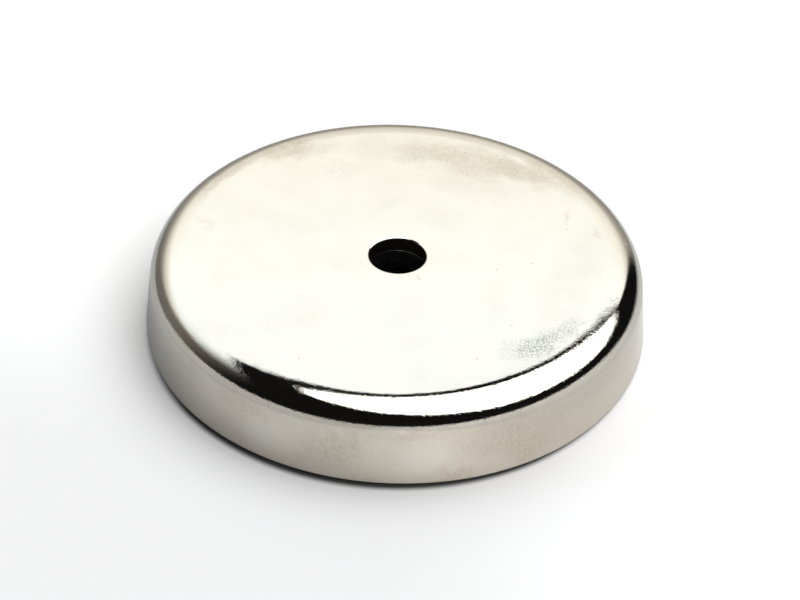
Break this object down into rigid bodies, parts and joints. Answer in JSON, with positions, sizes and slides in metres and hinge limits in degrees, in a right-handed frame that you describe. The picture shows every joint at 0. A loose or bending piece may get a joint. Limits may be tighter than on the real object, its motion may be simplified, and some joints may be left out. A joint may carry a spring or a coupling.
{
  "type": "pot magnet",
  "caption": "Round pot magnet: a shallow drawn and plated steel cup with rounded corner and central screw hole, holding a bonded ferrite ring magnet.",
  "frame": {"origin": "centre of the cup's rim, on the surface that the magnet grips", "axes": "+Z along the axis of the cup, from the rim to the flat back with the screw hole; X and Y are free"},
  "size_m": [0.08, 0.08, 0.0125],
  "materials": {
    "plated_steel": "bright nickel plate over drawn steel, faint orange peel at the corner",
    "ferrite": "ground sintered ferrite, dark grey and matt",
    "epoxy": "cured casting epoxy, dark and glossy"
  },
  "bodies": {
    "root": {"cup": "plated_steel", "ring_magnet": "ferrite", "epoxy_bond": "epoxy"}
  },
  "joints": []
}
